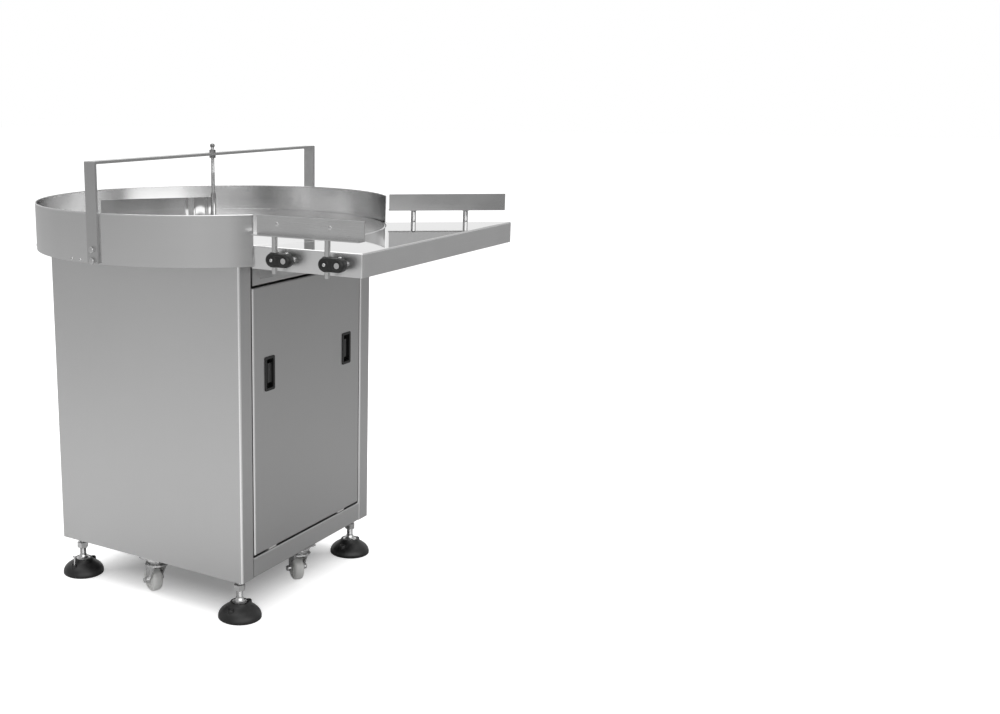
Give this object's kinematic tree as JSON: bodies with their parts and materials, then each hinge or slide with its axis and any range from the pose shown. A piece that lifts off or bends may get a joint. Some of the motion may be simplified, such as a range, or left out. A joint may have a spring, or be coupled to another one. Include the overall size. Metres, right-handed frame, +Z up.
{
  "type": "rotary accumulation table",
  "caption": "Sheet-steel cabinet on levelling feet and swivel casters, with a driven turntable in a guard band, a deflector on a bridge bar, and an outfeed shelf with adjustable side guides.",
  "frame": {"origin": "on the floor, under the turntable axis, in the middle of the anchor holes of the four feet", "axes": "+Z up, the cabinet door and the outfeed shelf face -Y, the near side guide is on the -X side"},
  "size_m": [0.8936, 1.011, 1.05],
  "materials": {
    "sheet_steel": "brushed stainless sheet",
    "structure_steel": "brushed stainless bar and plate",
    "polished_steel": "polished stainless sheet",
    "machined_steel": "machined bright steel",
    "fastener_steel": "bright stainless fasteners",
    "zinc_plate": "bright zinc plated pressings",
    "wheel_nylon": "white nylon",
    "foot_plastic": "black moulded nylon",
    "clamp_plastic": "black moulded nylon",
    "latch_black": "black moulded plastic",
    "latch_thumb": "dark grey moulded plastic",
    "drive_casting": "cast aluminium",
    "bearing_iron": "painted cast iron",
    "motor_paint": "grey enamel",
    "control_plastic": "grey moulded plastic",
    "dial_plastic": "black moulded plastic"
  },
  "bodies": {
    "cabinet": {"wall_left": "sheet_steel", "wall_right": "sheet_steel", "back_panel": "sheet_steel", "floor_pan": "sheet_steel", "fascia_strip": "sheet_steel", "top_plate": "structure_steel", "foot_bushes": "structure_steel", "door_rests": "wheel_nylon", "caster_plates": "zinc_plate", "shaft_bearing": "bearing_iron", "worm_gearbox": "drive_casting", "drive_motor": "motor_paint", "motor_fan_cover": "motor_paint", "terminal_box": "control_plastic", "speed_controller": "control_plastic", "cable_gland": "control_plastic", "band_back": "polished_steel", "band_front_left": "polished_steel", "band_front_right": "polished_steel", "band_brackets": "structure_steel", "outfeed_shelf": "sheet_steel", "shelf_brackets": "structure_steel", "bridge_bar": "structure_steel", "bridge_bolts": "fastener_steel", "rod_nuts": "fastener_steel", "guide_studs": "machined_steel"},
    "turntable": {"turntable_disc": "polished_steel", "disc_spider": "machined_steel", "drive_shaft": "machined_steel"},
    "door": {"door_panel": "sheet_steel", "latch_cup_left": "latch_black", "latch_cup_right": "latch_black"},
    "latch_left": {"latch_slide_left": "latch_thumb"},
    "latch_right": {"latch_slide_right": "latch_thumb"},
    "near_carriage": {"near_clamps": "clamp_plastic"},
    "near_fence": {"near_guide": "structure_steel", "near_guide_posts": "machined_steel"},
    "far_carriage": {"far_clamps": "clamp_plastic"},
    "far_fence": {"far_guide": "structure_steel", "far_guide_posts": "machined_steel"},
    "deflector_mast": {"deflector_rod": "machined_steel"},
    "deflector": {"deflector_blade": "polished_steel"},
    "speed_dial": {"speed_knob": "dial_plastic"},
    "run_dial": {"run_switch": "dial_plastic"},
    "foot_1": {"foot_base_1": "foot_plastic", "foot_spindle_1": "machined_steel"},
    "foot_2": {"foot_base_2": "foot_plastic", "foot_spindle_2": "machined_steel"},
    "foot_3": {"foot_base_3": "foot_plastic", "foot_spindle_3": "machined_steel"},
    "foot_4": {"foot_base_4": "foot_plastic", "foot_spindle_4": "machined_steel"},
    "fork_left": {"caster_fork_left": "zinc_plate"},
    "wheel_left": {"caster_wheel_left": "wheel_nylon"},
    "fork_front": {"caster_fork_front": "zinc_plate"},
    "wheel_front": {"caster_wheel_front": "wheel_nylon"},
    "fork_right": {"caster_fork_right": "zinc_plate"},
    "wheel_right": {"caster_wheel_right": "wheel_nylon"},
    "fork_rear": {"caster_fork_rear": "zinc_plate"},
    "wheel_rear": {"caster_wheel_rear": "wheel_nylon"}
  },
  "joints": [
    {"name": "turntable_spin", "type": "hinge", "parent": "cabinet", "child": "turntable", "pos_m": [0, 0, 0.86], "axis": [0, 0, 1], "continuous": true},
    {"name": "foot_1_height", "type": "slide", "parent": "cabinet", "child": "foot_1", "axis": [0, 0, -1], "range_m": [-0.012, 0.04]},
    {"name": "foot_2_height", "type": "slide", "parent": "cabinet", "child": "foot_2", "axis": [0, 0, -1], "range_m": [-0.012, 0.04]},
    {"name": "foot_3_height", "type": "slide", "parent": "cabinet", "child": "foot_3", "axis": [0, 0, -1], "range_m": [-0.012, 0.04]},
    {"name": "foot_4_height", "type": "slide", "parent": "cabinet", "child": "foot_4", "axis": [0, 0, -1], "range_m": [-0.012, 0.04]},
    {"name": "caster_left_swivel", "type": "hinge", "parent": "cabinet", "child": "fork_left", "pos_m": [-0.244, 0, 0.079], "axis": [0, 0, 1], "continuous": true},
    {"name": "caster_left_roll", "type": "hinge", "parent": "fork_left", "child": "wheel_left", "pos_m": [-0.23651, 0.01854, 0.032], "axis": [-0.9272, 0.3746, 0], "continuous": true},
    {"name": "caster_front_swivel", "type": "hinge", "parent": "cabinet", "child": "fork_front", "pos_m": [0, -0.244, 0.079], "axis": [0, 0, 1], "continuous": true},
    {"name": "caster_front_roll", "type": "hinge", "parent": "fork_front", "child": "wheel_front", "pos_m": [0.01231, -0.22824, 0.032], "axis": [-0.788, 0.6157, 0], "continuous": true},
    {"name": "caster_right_swivel", "type": "hinge", "parent": "cabinet", "child": "fork_right", "pos_m": [0.244, 0, 0.079], "axis": [0, 0, 1], "continuous": true},
    {"name": "caster_right_roll", "type": "hinge", "parent": "fork_right", "child": "wheel_right", "pos_m": [0.23619, -0.01841, 0.032], "axis": [0.9205, -0.3907, 0], "continuous": true},
    {"name": "caster_rear_swivel", "type": "hinge", "parent": "cabinet", "child": "fork_rear", "pos_m": [0, 0.244, 0.079], "axis": [0, 0, 1], "continuous": true},
    {"name": "caster_rear_roll", "type": "hinge", "parent": "fork_rear", "child": "wheel_rear", "pos_m": [-0.01231, 0.22824, 0.032], "axis": [0.788, -0.6157, 0], "continuous": true},
    {"name": "door_lift_off", "type": "slide", "parent": "cabinet", "child": "door", "axis": [0, -1, 0], "range_m": [0, 0.35]},
    {"name": "latch_left_slide", "type": "slide", "parent": "door", "child": "latch_left", "axis": [-1, 0, 0], "range_m": [0, 0.0085]},
    {"name": "latch_right_slide", "type": "slide", "parent": "door", "child": "latch_right", "axis": [1, 0, 0], "range_m": [0, 0.0085]},
    {"name": "near_guide_width", "type": "slide", "parent": "cabinet", "child": "near_carriage", "axis": [-1, 0, 0], "range_m": [-0.005, 0.014]},
    {"name": "near_guide_height", "type": "slide", "parent": "near_carriage", "child": "near_fence", "axis": [0, 0, 1], "range_m": [-0.02, 0.02]},
    {"name": "far_guide_width", "type": "slide", "parent": "cabinet", "child": "far_carriage", "axis": [0.829, 0.5592, 0], "range_m": [-0.005, 0.014]},
    {"name": "far_guide_height", "type": "slide", "parent": "far_carriage", "child": "far_fence", "axis": [0, 0, 1], "range_m": [-0.02, 0.02]},
    {"name": "deflector_height", "type": "slide", "parent": "cabinet", "child": "deflector_mast", "axis": [0, 0, 1], "range_m": [0, 0.04]},
    {"name": "deflector_swing", "type": "hinge", "parent": "deflector_mast", "child": "deflector", "pos_m": [0, 0, 0.9], "axis": [0, 0, 1], "range_deg": [-120, 120]},
    {"name": "speed_dial_turn", "type": "hinge", "parent": "cabinet", "child": "speed_dial", "pos_m": [0.03, 0.186, 0.5124], "axis": [0, -1, 0], "range_deg": [-150, 150]},
    {"name": "run_dial_turn", "type": "hinge", "parent": "cabinet", "child": "run_dial", "pos_m": [-0.03, 0.186, 0.5124], "axis": [0, -1, 0], "range_deg": [-45, 45]}
  ]
}
